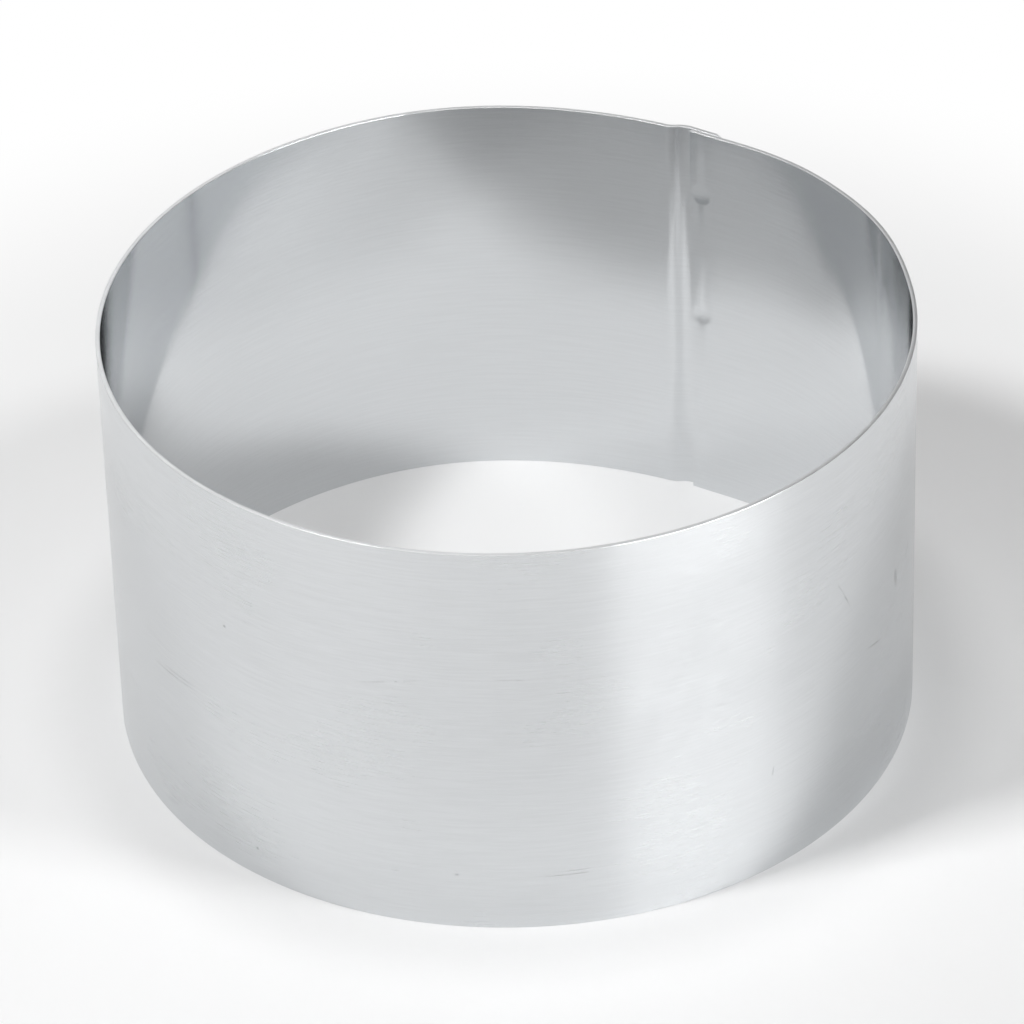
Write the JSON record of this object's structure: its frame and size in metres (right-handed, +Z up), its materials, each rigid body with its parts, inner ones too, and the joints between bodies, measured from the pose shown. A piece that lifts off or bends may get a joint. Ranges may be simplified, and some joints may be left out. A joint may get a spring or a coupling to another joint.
{
  "type": "pastry ring",
  "caption": "Open round stainless steel ring for cutting, baking and shaping pastry, rolled from one strip and closed by a spot-welded lap seam.",
  "frame": {"origin": "centre of the lower rim, on the axis of the bore", "axes": "+Z up along the axis of the bore, -Y towards the pictured front; the seam's free end lies 55 degrees from +X about +Z, at the back right"},
  "size_m": [0.091, 0.091, 0.05],
  "materials": {
    "steel": "satin rolled stainless steel with fine grain around the ring"
  },
  "bodies": {
    "root": {"ring": "steel"}
  },
  "joints": []
}
